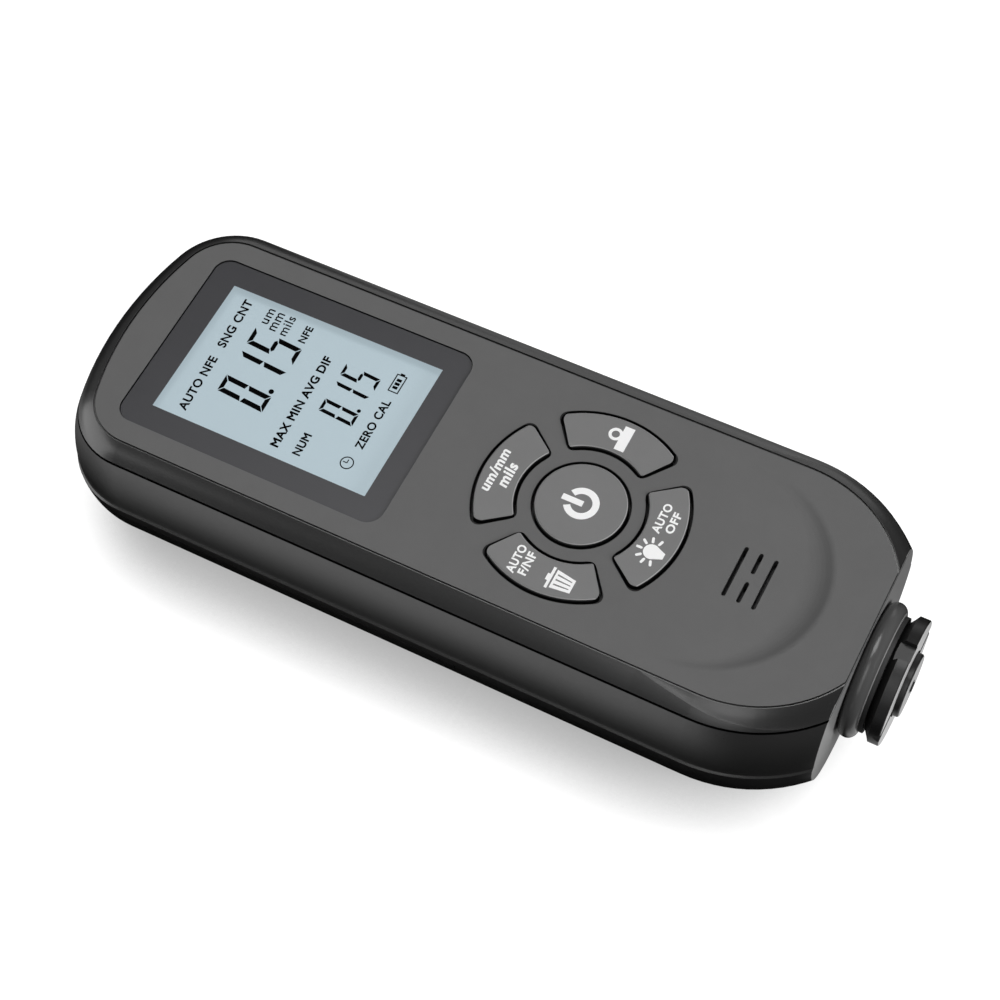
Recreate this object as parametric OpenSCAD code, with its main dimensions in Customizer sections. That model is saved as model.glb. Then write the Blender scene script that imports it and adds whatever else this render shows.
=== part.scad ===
// Hand-held coating thickness gauge with a sprung measuring head, lying on its back.
// Stations run along X from the title end to the probe; heights run along Z from the back.

/* [Body] */
// Length from the title end to the flat end face
body_length = 113.8; // [110:0.1:120]
// Width at the waist line
body_width = 45.2; // [42:0.1:49]
// Height from the back to the front face
body_height = 24.7; // [23:0.1:27]
// Plan radius of the two title corners at the waist line
corner_radius = 12.3; // [12:0.1:12.8]
// Distance from the centre of the rounded end to the end face
end_setback = 15.6; // [14:0.1:17]
// Inset of the front face from the waist line
face_inset = 4.65; // [4:0.05:5]
// Inset of the parting line from the waist line
parting_inset = 2.1; // [1.8:0.05:2.4]
// Depth of the parting line under the front face
parting_depth = 1.95; // [1.8:0.05:2.1]
// Depth of the waist line under the front face, as a share of the height
waist_share = 0.437; // [0.42:0.001:0.45]
// Step of the lower band at the waist line
waist_lip = 0.25; // [0.15:0.05:0.35]
// Section radius under the waist line, as a share of the height
under_share = 0.73; // [0.7:0.01:0.76]
// Angle the under radius turns through
under_angle = 32; // [30:1:34]
// Section radius of the rounded band round the face
band_radius = 6; // [5:0.5:9]
// Gap left at the parting line
parting_gap = 0.3; // [0.2:0.05:0.4]
// Width and depth of the seam round the face
seam = 0.3; // [0.2:0.05:0.4]
// Wall of the shells
wall = 1.8; // [1.5:0.1:2]
// Thickness of the front face
face_wall = 2.4; // [2.2:0.1:2.6]
// Thickness of the end wall
end_wall = 2.6; // [2.2:0.1:3]

/* [Display] */
// Station of the window's title edge
window_start = 10.7; // [9.5:0.1:11.5]
// Window length
window_length = 40.5; // [39:0.1:41]
// Distance from the window's long edges to the waist line
window_margin = 8.15; // [8:0.05:9]
// Window corner radius
window_corner = 2.3; // [1.5:0.1:3]
// Window thickness
window_thick = 1.2; // [1:0.1:1.3]
// Depth of the window under the face
window_sink = 0.25; // [0.1:0.05:0.3]
// Width of the ledge the window is stuck to
window_ledge = 1.6; // [1.2:0.1:2]
// Thickness of the window gasket
gasket_thick = 0.2; // [0.1:0.05:0.3]
// Thickness of the display panel
panel_thick = 2.1; // [1.8:0.1:2.3]

/* [Keys] */
// Station of the power key's centre
key_station = 73.8; // [73.2:0.1:74.2]
// Radius of the power key's opening
power_radius = 6.5; // [6:0.05:6.6]
// Inner radius of the arc keys' openings
ring_inner = 8.35; // [8.3:0.05:8.6]
// Outer radius of the arc keys' openings
ring_outer = 14.4; // [13.8:0.05:14.5]
// Half the angle of an arc key's opening
ring_half_angle = 38; // [35:0.5:38.5]
// Corner radius on the outer side of an arc key's opening
ring_corner = 1.5; // [1:0.1:1.8]
// Corner radius on the inner side of an arc key's opening
ring_inner_corner = 0.9; // [0.6:0.1:1.1]
// Gap round each key
key_gap = 0.35; // [0.25:0.05:0.4]
// Height of the keys above the face
key_proud = 0.35; // [0.2:0.05:0.5]
// Chamfer along the key tops
key_chamfer = 0.25; // [0.15:0.05:0.3]
// Travel of a key
key_travel = 0.6; // [0.4:0.05:0.6]
// Width of the flange that keeps a key in
key_flange = 0.6; // [0.4:0.05:0.7]

/* [Dish and grille] */
// Station where the dish floor leaves the face
dish_station = 90.2; // [89.8:0.1:90.6]
// Station of the middle of the dish's round rim
dish_middle = 92.4; // [92:0.1:92.8]
// Radius at which the dish's rim leaves the face
dish_radius = 15.65; // [15.2:0.05:15.7]
// Radius of the dish's hollow wall
dish_wall_radius = 9; // [8.6:0.1:9.4]
// Radius of the dish's eased rim
dish_rim_radius = 2.2; // [1.8:0.1:2.4]
// Steepest slope of the dish's wall
dish_slope = 27; // [26:0.5:28]
// Tilt of the dish floor
dish_tilt = 5; // [4:0.25:5.5]
// Station of the middle of the grille
grille_station = 97.45; // [96.5:0.05:98]
// Pitch of the grille slots
grille_pitch = 2.05; // [1.8:0.05:2.2]
// Width of a grille slot
slot_width = 0.6; // [0.5:0.05:0.8]
// Length of a long grille slot
slot_long = 7.7; // [7:0.1:8.5]
// Length of a short grille slot
slot_short = 3.2; // [2.8:0.1:3.4]

/* [Battery door] */
// Distance from the probe-side contact wall to the door's edge
door_margin = 2.5; // [2.5:0.1:3]
// Drop from the deck to the door seam
seam_drop = 1; // [0.8:0.05:1.1]
// Gap round the door
door_gap = 0.2; // [0.15:0.05:0.25]
// Thickness of the deck above the cells
deck_thick = 1.2; // [1:0.1:1.2]
// Diameter of an AAA cell
cell_d = 10.5; // [10.3:0.1:10.5]
// Length of an AAA cell with its button
cell_length = 44.5; // [43:0.1:48]
// Distance between the two cells' axes
cell_pitch = 11.5; // [11.2:0.1:11.8]
// Station of the cells' title end
cell_start = 14.5; // [14.3:0.1:14.7]

/* [Probe] */
// Depth of the probe axis under the face
probe_depth = 11.2; // [11:0.05:11.4]
// Radius of the collar
collar_radius = 9.35; // [9:0.05:9.6]
// Length of the collar outside the end face
collar_length = 2.65; // [2.4:0.05:2.8]
// Radius of the neck
neck_radius = 7.2; // [6.8:0.05:7.4]
// Distance from the end face to the back of the cap
cap_start = 3.95; // [3.8:0.05:4.1]
// Distance from the end face to the front of the cap
cap_front = 5.75; // [5.6:0.05:5.9]
// Radius of the cap
cap_radius = 8.7; // [8.4:0.05:9]
// Radius of the measuring disc
disc_radius = 4.35; // [4.1:0.05:4.6]
// Distance from the end face to the front of the measuring disc
disc_front = 6.6; // [6.55:0.01:6.65]
// Travel of the measuring head
head_travel = 0.85; // [0.7:0.05:0.85]
// Radius of the measuring tip
tip_radius = 0.95; // [0.8:0.05:1.1]
// Distance from the end face to the point of the tip
tip_out = 6.8; // [6.75:0.05:6.9]

/* [Hidden] */
$fn = 64;
reach = 60;
slip = 0.1;
corner_ease = 0.01;
bow_x = 0.96;
bow_y = 0.28;
title_radius = round(10 * (body_width / 2 - corner_radius * (1 - bow_y)) / bow_y) / 10;
corner_y = bow_y * (title_radius - corner_radius);
corner_s = title_radius - bow_x * (title_radius - corner_radius);
half_w = corner_y + corner_radius;
total_length = body_length + tip_out;
waist_depth = waist_share * body_height;
under_radius = under_share * body_height;
parting_z = body_height - parting_depth;
waist_z = body_height - waist_depth;
side_run = parting_inset - waist_lip;
side_rise = waist_depth - parting_depth;
side_radius = (side_run * side_run + side_rise * side_rise) / (2 * side_run);
under_z = waist_z - waist_lip;
base_radius = (under_z - under_radius * sin(under_angle)) / (1 - sin(under_angle));
base_u = -under_radius + (under_radius - base_radius) * cos(under_angle);
round_s = body_length - end_setback;
face_under = body_height - face_wall;
band_chord = norm([face_inset - parting_inset, parting_depth]);
band_back = sqrt(band_radius * band_radius - band_chord * band_chord / 4);
band_u = -(face_inset + parting_inset) / 2 - band_back * parting_depth / band_chord;
band_z = body_height - parting_depth / 2 - band_back * (face_inset - parting_inset) / band_chord;
lip_outer = parting_inset + wall + 0.35;
lip_inner = lip_outer + 1.1;
lip_drop = 2.2;
cell_room = 0.35;
cell_z = wall + cell_room + cell_d / 2;
deck_under = cell_z + cell_d / 2 + 0.25;
deck_top = deck_under + deck_thick;
door_z = deck_under - seam_drop;
window_width = 2 * (half_w - window_margin);
window_top = body_height - window_sink;
window_under = window_top - window_thick;
ledge_top = window_under - gasket_thick;
panel_top = window_under - 0.15;
panel_under = panel_top - panel_thick;
panel_start = window_start + window_ledge + 0.3;
panel_length = window_length - 2 * window_ledge - 0.6;
panel_width = window_width - 2 * window_ledge - 0.6;
board_share = 0.243;
board_top = body_height * (1 - board_share);
board_thick = 1.2;
board_end = 88;
board_inset = 5.4;
strip_width = 2.6;
switch_height = 0.9;
boss_radius = 2.6;
boss_shoulder = 3;
screw_radius = 1;
screw_head = 2.2;
screw_head_height = 1.3;
contact_gap = 3.3;
contact_wall = 1.2;
contact_width = cell_pitch + cell_d + 0.8;
contact_low = cell_z - 2.8;
title_contact = cell_start - contact_gap - contact_wall;
probe_contact = cell_start + cell_length + contact_gap;
door_end = probe_contact + contact_wall + door_margin;
boss_y = half_w - boss_radius - 4.4;
boss_stations = [cell_start, door_end - door_margin];
plate_w = 0.8 * cell_d;
rail_start = corner_s + 6.2;
rail_end = door_end - 5;
rail_y = half_w - 5.8;
rail_foot = 2.6;
rail_thick = 0.9;
rib_inner = rail_y + 1.4;
tab_y = half_w - 5.2;
tab_thick = 1.2;
tab_root = 3;
tab_low = deck_under / 2;
tab_high = tab_low + 2;
cross_wall = 1.6;
tab_length = 2;
buzzer_radius = 6.5;
buzzer_height = 2.6;
socket_wall = 0.8;
probe_z = body_height - probe_depth;
bore_radius = neck_radius + 0.8;
stem_radius = 3.1;
sleeve_back = body_length - 4;
disc_thick = 1.85;
coil_radius = 5.5;
coil_length = 7.2;
coil_front = sleeve_back - 0.1;
coil_back = coil_front - coil_length;
stem_back = coil_back - 5;
bracket_s = 92.8;
bracket_thick = 1.5;
spring_start = bracket_s + bracket_thick;
wire = 0.5;

// Moves stations into the part's frame, whose origin is under the middle.
module at_frame() {
    translate([-total_length / 2, 0, 0]) children();
}

// Turns a shape drawn about Z to lie about the probe axis, its heights becoming stations.
module on_probe_axis() {
    translate([0, 0, probe_z]) rotate([0, 90, 0]) children();
}

// A box from one corner to the other.
module span(low, high) {
    translate(low) cube(high - low);
}

// A flat rectangle with rounded corners, from its low corner.
module rounded_plate(size, r) {
    translate([r, 0]) square([size[0] - 2 * r, size[1]]);
    translate([0, r]) square([size[0], size[1] - 2 * r]);
    for (x = [r, size[0] - r], y = [r, size[1] - r]) translate([x, y]) circle(r);
}

// The part of a disc between two heights, filled inward from the disc's centre line.
module arc_band(low, high, centre_u, centre_z, r) {
    intersection() {
        translate([centre_u, centre_z]) circle(r);
        translate([centre_u - 0.5, low]) square([r + 1, high - low]);
    }
    translate([-reach, low]) square([reach + centre_u, high - low]);
}

// Half section of the rear body: u runs outward from the waist line, inset is the wall left off.
module rear_section(inset) {
    turn_z = under_z - (under_radius - inset) * sin(under_angle);
    arc_band(waist_z, parting_z - parting_gap / 2, -waist_lip - side_radius, waist_z, side_radius - inset);
    polygon([[-reach, under_z], [-inset, under_z], [-inset - waist_lip, waist_z], [-reach, waist_z]]);
    arc_band(turn_z, under_z, -under_radius, under_z, under_radius - inset);
    arc_band(inset, turn_z, base_u, base_radius, base_radius - inset);
}

// The rear section between two heights.
module rear_slice(inset, low, high) {
    intersection() {
        rear_section(inset);
        translate([-reach, low]) square([reach + 1, high - low]);
    }
}

// Half section of the front shell's plate with the seam round the face.
module face_section() {
    difference() {
        arc_band(parting_z + parting_gap / 2, body_height, band_u, band_z, band_radius);
        translate([-face_inset - seam, body_height - seam]) square([seam, 2 * seam]);
    }
}

// Half section of the front shell's inner plate and locating lip.
module lip_section() {
    translate([-reach, face_under]) square([reach - lip_outer, parting_z + 0.5 - face_under]);
    translate([-lip_inner, parting_z - lip_drop]) square([lip_inner - lip_outer, lip_drop]);
}

// A half section moved out to a plan radius and cut at the centre.
module at_radius(r) {
    intersection() {
        translate([r, 0]) children();
        translate([0, -1]) square([r + 1, body_height + 2]);
    }
}

// A prism over a flat polygon, taller than the body.
module over(points) {
    translate([0, 0, -1]) linear_extrude(body_height + 2) polygon(points);
}

// Carries a half section round the bowed title end and its corners, which meet along the bow's end lines.
module title_end() {
    far_x = 50 * bow_x;
    far_y = 50 * bow_y;
    intersection() {
        translate([title_radius, 0, 0]) rotate_extrude() at_radius(title_radius) children();
        over([[corner_s, -corner_y], [corner_s, corner_y], [corner_s - far_x, corner_y + far_y],
            [corner_s - far_x, -corner_y - far_y]]);
    }
    for (side = [0, 1]) mirror([0, side, 0]) intersection() {
        translate([corner_s, corner_y, 0]) rotate_extrude() at_radius(corner_radius) children();
        over([[corner_s, corner_y], [corner_s, corner_y + far_x], [corner_s - far_x, corner_y + far_x],
            [corner_s - far_x, corner_y + far_y]]);
    }
}

// Carries a half section round the plan outline between two stations.
module around(from_s, to_s) {
    straight_from = max(from_s, corner_s);
    straight_to = min(to_s, round_s);
    if (from_s <= 0) title_end() children();
    translate([straight_from, 0, 0]) rotate([90, 0, 90]) linear_extrude(straight_to - straight_from) {
        at_radius(half_w) children();
        mirror([1, 0]) at_radius(half_w) children();
    }
    if (to_s > round_s) {
        intersection() {
            translate([round_s, 0, 0]) rotate([0, 0, -90])
                rotate_extrude(angle = 180) at_radius(half_w) children();
            span([round_s - 1, -half_w - 1, -1], [to_s, half_w + 1, body_height + 1]);
        }
    }
}

// A point at a radius and an angle.
function polar(r, a) = [r * cos(a), r * sin(a)];

// What a rounding takes off one corner of a ring sector, on its positive side.
module corner_off(r, c, half, outer) {
    mid = outer ? r - c : r + c;
    lean = asin(c / mid);
    foot = sqrt(mid * mid - c * c);
    past = outer ? r + c : r - c;
    difference() {
        polygon([polar(mid, half - lean), polar(past, half - lean), polar(past, half + 8), polar(foot, half + 8),
            polar(foot, half)]);
        translate(polar(mid, half - lean)) circle(c + corner_ease);
    }
}

// A flat ring sector with rounded corners, open towards positive X, its sides at a side offset.
module sector(inner, outer, half, c_outer, c_inner) {
    difference() {
        intersection() {
            difference() {
                circle(outer);
                circle(inner);
            }
            polygon([[0, 0], polar(3 * outer, -half), [3 * outer, 0], polar(3 * outer, half)]);
        }
        for (side = [0, 1]) mirror([0, side]) {
            corner_off(outer, c_outer, half, true);
            corner_off(inner, c_inner, half, false);
        }
    }
}

// An arc key: chamfered cap, flange under the face and the post above its switch.
module arc_key(turn) {
    inner = ring_inner + key_gap;
    outer = ring_outer - key_gap;
    middle = (inner + outer) / 2;
    half = ring_half_angle - key_gap / middle * 180 / PI;
    top = body_height + key_proud;
    flange_top = face_under - slip;
    flange_low = flange_top - 0.8;
    side_flange = key_flange / middle * 180 / PI;
    post_low = board_top + switch_height + key_travel + 0.05;
    translate([key_station, 0, 0]) rotate([0, 0, turn]) {
        difference() {
            translate([0, 0, flange_low + 0.4]) linear_extrude(top - flange_low - 0.4)
                sector(inner, outer, half, ring_corner - key_gap, ring_inner_corner - key_gap);
            rotate_extrude() polygon([[outer - key_chamfer - 1, top + 1], [outer + 1, top + 1],
                [outer + 1, top - key_chamfer - 1]]);
            rotate_extrude() polygon([[inner + key_chamfer + 1, top + 1], [inner - 1, top + 1],
                [inner - 1, top - key_chamfer - 1]]);
        }
        translate([0, 0, flange_low]) linear_extrude(0.8)
            sector(inner - key_gap - key_flange + 0.1, outer + key_gap + key_flange - 0.1,
                half + side_flange, ring_corner, ring_inner_corner);
        translate([middle, 0, post_low]) cylinder(r = 1.5, h = flange_low - post_low + 0.2);
    }
}

// A helical wire along Z between two heights, six-sided, with its radius going from r0 to r1.
module coil(z0, z1, r0, r1, turns, w) {
    steps = round(turns * 16);
    ring = 6;
    points = [for (i = [0:steps], k = [0:ring - 1])
        let (a = 360 * turns * i / steps, f = i / steps, b = 360 * k / ring, r = r0 + (r1 - r0) * f + w * cos(b))
        [r * cos(a), r * sin(a), z0 + (z1 - z0) * f + w * sin(b)]];
    sides = [for (i = [0:steps - 1], k = [0:ring - 1])
        [i * ring + k, (i + 1) * ring + k, (i + 1) * ring + (k + 1) % ring, i * ring + (k + 1) % ring]];
    first = [for (k = [0:ring - 1]) k];
    last = [for (k = [ring - 1:-1:0]) steps * ring + k];
    polyhedron(points, concat(sides, [first, last]));
}

// Front shell: face plate carried round the plan, lip, bosses, openings, dish and grille.
module front_shell() color("DimGray") {
    difference() {
        union() {
            around(0, body_length) face_section();
            around(0, body_length - end_wall - slip) lip_section();
            for (s = boss_stations, y = [-boss_y, boss_y]) translate([s, y, 0]) {
                translate([0, 0, deck_top + slip]) cylinder(r = boss_radius, h = face_under - deck_top);
                translate([0, 0, board_top + slip]) cylinder(r = boss_shoulder, h = face_under - board_top);
            }
            translate([grille_station, 0, face_under - buzzer_height]) difference() {
                cylinder(r = buzzer_radius + slip + socket_wall, h = buzzer_height + 0.2);
                translate([0, 0, -1]) cylinder(r = buzzer_radius + slip, h = buzzer_height + 2);
            }
        }
        for (s = boss_stations, y = [-boss_y, boss_y])
            translate([s, y, deck_under]) cylinder(r = screw_radius + 0.05, h = face_under - deck_under - 1);
        translate([window_start - slip, -window_width / 2 - slip, ledge_top]) linear_extrude(face_wall)
            rounded_plate([window_length + 2 * slip, window_width + 2 * slip], window_corner + slip);
        translate([window_start + window_ledge, -window_width / 2 + window_ledge, face_under - 1])
            cube([window_length - 2 * window_ledge, window_width - 2 * window_ledge, face_wall]);
        translate([key_station, 0, face_under - 1]) {
            cylinder(r = power_radius, h = face_wall + 2);
            for (turn = [0, 90, 180, 270]) rotate([0, 0, turn]) linear_extrude(face_wall + 2)
                sector(ring_inner, ring_outer, ring_half_angle, ring_corner, ring_inner_corner);
        }
        intersection() {
            translate([dish_middle, 0, body_height]) rotate_extrude() dish_section();
            translate([dish_station, 0, body_height]) rotate([0, dish_tilt, 0])
                translate([-30, -30, 0]) cube([60, 60, 10]);
        }
        for (side = [-1, 1]) {
            translate([grille_station + side * grille_pitch, 0, face_under - 1]) grille_slot(slot_long);
            translate([grille_station, side * (slot_long - slot_short) / 2, face_under - 1]) grille_slot(slot_short);
        }
    }
}

// Section of the dish's cutter: hollow wall, eased rim and a shallow run out over the face.
module dish_section() {
    out = 4;
    rim_z = dish_rim_radius * cos(out);
    turn_r = dish_radius - dish_rim_radius * sin(dish_slope);
    turn_z = dish_rim_radius * cos(dish_slope) - rim_z;
    toe_r = turn_r - dish_wall_radius * sin(dish_slope);
    toe_z = turn_z + dish_wall_radius * (cos(dish_slope) - 1);
    count = 7;
    wall = [for (k = [0:count]) let (a = dish_slope * k / count)
        [toe_r + dish_wall_radius * sin(a), toe_z + dish_wall_radius * (1 - cos(a))]];
    rim = [for (k = [1:count]) let (a = dish_slope + (out - dish_slope) * k / count)
        [dish_radius - dish_rim_radius * sin(a), dish_rim_radius * cos(a) - rim_z]];
    edge = rim[count - 1];
    polygon(concat([[0, toe_z]], wall, rim,
        [[edge[0] + 1.5, edge[1] + 1.5 * tan(out)], [edge[0] + 1.5, 3], [0, 3]]));
}

// The cutter of one grille slot, lying across the body.
module grille_slot(length) {
    linear_extrude(face_wall + 2) {
        square([slot_width, length - slot_width], center = true);
        for (side = [-1, 1]) translate([0, side * (length - slot_width) / 2]) circle(slot_width / 2);
    }
}

// Rear shell: walls, end wall with the probe bore, deck, contact walls, door rails and spring bracket.
module rear_shell() color("DarkSlateGray") {
    difference() {
        around(0, body_length) rear_section(0);
        around(0, body_length - end_wall) rear_slice(wall, deck_top, body_height);
        around(door_end + door_gap + cross_wall, body_length - end_wall) rear_slice(wall, 0, deck_top + 0.5);
        around(0, door_end + door_gap) rear_slice(wall, 0, deck_under);
        span([-1, -half_w - 1, -1], [door_end + door_gap, half_w + 1, door_z + door_gap / 2]);
        for (side = [0, 1]) mirror([0, side, 0])
            span([door_end, tab_y - 0.4, tab_low - 0.4], [door_end + tab_length + 0.5, tab_y + tab_thick + 0.5,
                tab_high + 0.4]);
        on_probe_axis() translate([0, 0, body_length - end_wall - 1]) cylinder(r = bore_radius, h = end_wall + 2);
        for (s = boss_stations, y = [-boss_y, boss_y])
            translate([s, y, deck_under - 1]) cylinder(r = screw_radius + 0.1, h = deck_thick + 2);
    }
    for (s = [title_contact, probe_contact])
        span([s, -contact_width / 2, contact_low], [s + contact_wall, contact_width / 2, deck_under + 0.2]);
    for (side = [0, 1]) mirror([0, side, 0]) {
        span([rail_start, rail_y, door_z - 2], [rail_end, rail_y + rail_thick, deck_under + 0.2]);
        span([rail_start, rail_y, door_z - 2], [rail_end, rail_y + rail_foot, door_z - 2 + rail_thick]);
    }
    difference() {
        span([bracket_s, -7, wall - 0.3], [bracket_s + bracket_thick, 7, probe_z + 4.5]);
        on_probe_axis() translate([0, 0, bracket_s - 1]) cylinder(r = 1.6, h = bracket_thick + 2);
    }
}

// Battery door: the lower title half of the back, with ribs over the rails and two tabs.
module battery_door() color("DarkSlateGray") {
    difference() {
        around(0, door_end) rear_slice(0, 0, door_z - door_gap / 2);
        around(0, door_end + 1) rear_slice(wall, 0, door_z + 1);
    }
    rib_top = door_z - door_gap / 2;
    rib_low = door_z - 2 + rail_thick + 0.15;
    for (side = [0, 1]) mirror([0, side, 0]) {
        span([rail_start, rib_inner, rib_low], [rail_end, half_w - wall / 2 - 0.5, rib_top]);
        span([door_end - 4, tab_y, tab_low], [door_end - door_gap, tab_y + tab_root, tab_high]);
        span([door_end - 4, tab_y, tab_low], [door_end + tab_length, tab_y + tab_thick, tab_high]);
    }
}

// Display window, sunk a little under the face.
module display_window() color("DarkSlateBlue") {
    translate([window_start, -window_width / 2, window_under]) linear_extrude(window_thick)
        rounded_plate([window_length, window_width], window_corner);
}

// Adhesive ring between the window and its ledge.
module window_gasket() color("Black") {
    margin = 0.3;
    difference() {
        translate([window_start + margin, -window_width / 2 + margin, ledge_top]) linear_extrude(gasket_thick)
            rounded_plate([window_length - 2 * margin, window_width - 2 * margin], window_corner);
        translate([window_start + window_ledge, -window_width / 2 + window_ledge, ledge_top - 1])
            cube([window_length - 2 * window_ledge, window_width - 2 * window_ledge, 3]);
    }
}

// Display panel, reaching up into the window's opening.
module lcd_panel() color("LightSteelBlue") {
    translate([panel_start, -panel_width / 2, panel_under]) cube([panel_length, panel_width, panel_thick]);
}

// Backlight plate between the panel and the board.
module backlight() color("White") {
    span([panel_start, -panel_width / 2, board_top],
        [panel_start + panel_length - strip_width - 0.4, panel_width / 2, panel_under]);
}

// Zebra strip that joins the panel to the board.
module zebra_strip() color("DimGray") {
    span([panel_start + panel_length - strip_width, -panel_width / 2 + 1, board_top],
        [panel_start + panel_length, panel_width / 2 - 1, panel_under]);
}

// Main board, following the plan outline, with holes for the bosses.
module main_board() color("DarkGreen") {
    difference() {
        around(0, board_end) translate([-reach, board_top - board_thick])
            square([reach - board_inset, board_thick]);
        for (s = boss_stations, y = [-boss_y, boss_y])
            translate([s, y, board_top - board_thick - 1]) cylinder(r = boss_radius + 0.2, h = board_thick + 2);
    }
}

// Two chips under the board.
module board_chips() color("Black") {
    low = board_top - board_thick - 1.4;
    span([28, -6, low], [40, 6, low + 1.4]);
    span([70, -3.5, low], [80, 3.5, low + 1.4]);
}

// Five key switches on the board, one under each key.
module key_switches() color("Silver") {
    middle = (ring_inner + ring_outer) / 2;
    places = concat([[0, 0]], [for (turn = [0, 90, 180, 270]) polar(middle, turn)]);
    for (p = places) translate([key_station + p[0], p[1], board_top]) {
        cylinder(r = 2.6, h = switch_height / 2);
        cylinder(r = 1.6, h = switch_height);
    }
}

// Round power key with its flange and post.
module power_key() color("Gray") {
    top = body_height + key_proud;
    flange_low = face_under - slip - 0.8;
    post_low = board_top + switch_height + key_travel + 0.05;
    edge = power_radius - key_gap;
    translate([key_station, 0, 0]) rotate_extrude() polygon([[0, post_low], [1.5, post_low], [1.5, flange_low],
        [power_radius + key_flange, flange_low], [power_radius + key_flange, face_under - slip],
        [edge, face_under - slip], [edge, top - key_chamfer], [edge - key_chamfer, top], [0, top]]);
}

module unit_key() color("Gray") arc_key(180);
module lamp_key() color("Gray") arc_key(0);
module zero_key() color("Gray") arc_key(90);
module mode_key() color("Gray") arc_key(270);

// Buzzer in its socket under the grille.
module buzzer() color("Black") {
    translate([grille_station, 0, face_under - slip - buzzer_height]) difference() {
        cylinder(r = buzzer_radius, h = buzzer_height);
        translate([0, 0, buzzer_height - 0.6]) cylinder(r = 1.2, h = 1);
    }
}

// Two AAA cells lying side by side, turned opposite ways.
module battery_cells() color("Gold") {
    for (side = [-1, 1]) translate([cell_start + cell_length / 2, side * cell_pitch / 2, cell_z])
        rotate([0, 90 * side, 0]) translate([0, 0, -cell_length / 2]) {
            cylinder(d = cell_d, h = cell_length - 0.8);
            cylinder(d = 3.8, h = cell_length);
        }
}

// Conical springs on the cells' flat ends.
module battery_springs() color("Silver") {
    for (side = [-1, 1]) translate([cell_start + cell_length / 2, side * cell_pitch / 2, cell_z])
        rotate([0, 90 * side, 0]) translate([0, 0, -cell_length / 2 - contact_gap + 0.7])
            coil(wire, contact_gap - 0.7 - wire, 3.4, 1.8, 3.5, wire / 2);
}

// Contact plates: two behind the springs and two against the cells' buttons.
module battery_plates() color("Silver") {
    for (side = [-1, 1]) translate([cell_start + cell_length / 2, side * cell_pitch / 2, cell_z])
        rotate([0, 90 * side, 0]) {
            translate([-plate_w / 2, -plate_w / 2, -cell_length / 2 - contact_gap + 0.1])
                cube([plate_w, plate_w, 0.5]);
            translate([-plate_w / 2, -plate_w / 2, cell_length / 2 + contact_gap - 0.6])
                cube([plate_w, plate_w, 0.5]);
            translate([0, 0, cell_length / 2 + 0.1]) cylinder(d = 3, h = contact_gap - 0.4);
        }
}

// Four case screws, up through the deck into the front shell's bosses.
module case_screws() color("Silver") {
    for (s = boss_stations, y = [-boss_y, boss_y]) translate([s, y, deck_under - screw_head_height]) difference() {
        union() {
            cylinder(r = screw_head, h = screw_head_height);
            cylinder(r = screw_radius, h = screw_head_height + deck_thick + face_under - deck_top - 2.2);
        }
        translate([0, 0, -0.1]) for (turn = [0, 90]) rotate([0, 0, turn])
            translate([-1.3, -0.3, 0]) cube([2.6, 0.6, 0.8]);
    }
}

// Probe collar: a flange with a full round edge, and a spigot in the bore.
module probe_collar() color("Gray") {
    bead = collar_length / 2 - 0.025;
    on_probe_axis() translate([0, 0, body_length]) rotate_extrude() difference() {
        union() {
            translate([0, 0.02]) square([collar_radius - bead, collar_length - 0.02]);
            translate([collar_radius - bead, collar_length / 2]) circle(bead);
            translate([0, -end_wall - 0.6]) square([bore_radius - 0.05, end_wall + 1]);
        }
        translate([-1, -end_wall - 2]) square([neck_radius + 1.05, end_wall + collar_length + 4]);
    }
}

// Seal ring between the collar and the cap.
module seal_ring() color("Black") {
    on_probe_axis() translate([0, 0, body_length + collar_length + 0.02]) difference() {
        cylinder(r = bore_radius, h = 0.55);
        translate([0, 0, -1]) cylinder(r = neck_radius + 0.05, h = 3);
    }
}

// Probe sleeve: neck, cap with bevelled edges, rim notch and the groove that seats it on round work.
module probe_sleeve() color("Black") {
    seat = disc_front - disc_thick - head_travel - 0.2;
    bevel = 0.5;
    on_probe_axis() difference() {
        translate([0, 0, body_length]) rotate_extrude() polygon([[stem_radius + 0.08, sleeve_back - body_length],
            [neck_radius, sleeve_back - body_length], [neck_radius, cap_start - 0.7], [cap_radius - bevel, cap_start],
            [cap_radius, cap_start + 0.3], [cap_radius, cap_front - 0.15], [cap_radius - 0.15, cap_front],
            [disc_radius + 0.3, cap_front], [disc_radius + 0.3, seat], [stem_radius + 0.08, seat]]);
        translate([-cap_radius, 0, body_length + cap_start + 0.5]) cube([2, 2.7, 6], center = true);
        translate([0, 0, body_length + cap_front]) rotate([0, 45, 0]) cube([1.4, 30, 1.4], center = true);
    }
}

// Measuring head: disc, stem through the sleeve and the tail inside the spring.
module measuring_head() color("Silver") {
    front = body_length + disc_front;
    on_probe_axis() difference() {
        rotate_extrude() polygon([[0, stem_back], [2, stem_back], [2, coil_back], [stem_radius, coil_back],
            [stem_radius, front - disc_thick], [disc_radius, front - disc_thick], [disc_radius, front - 0.2],
            [disc_radius - 0.2, front], [0, front]]);
        translate([0, 0, front - 4]) cylinder(r = tip_radius + 0.02, h = 5);
    }
}

// Measuring tip in the middle of the disc.
module measuring_tip() color("DarkGray") {
    on_probe_axis() translate([0, 0, body_length + disc_front - 4]) {
        cylinder(r = tip_radius, h = 4 + tip_out - disc_front - 0.15);
        cylinder(r = tip_radius - 0.25, h = 4 + tip_out - disc_front);
    }
}

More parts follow.
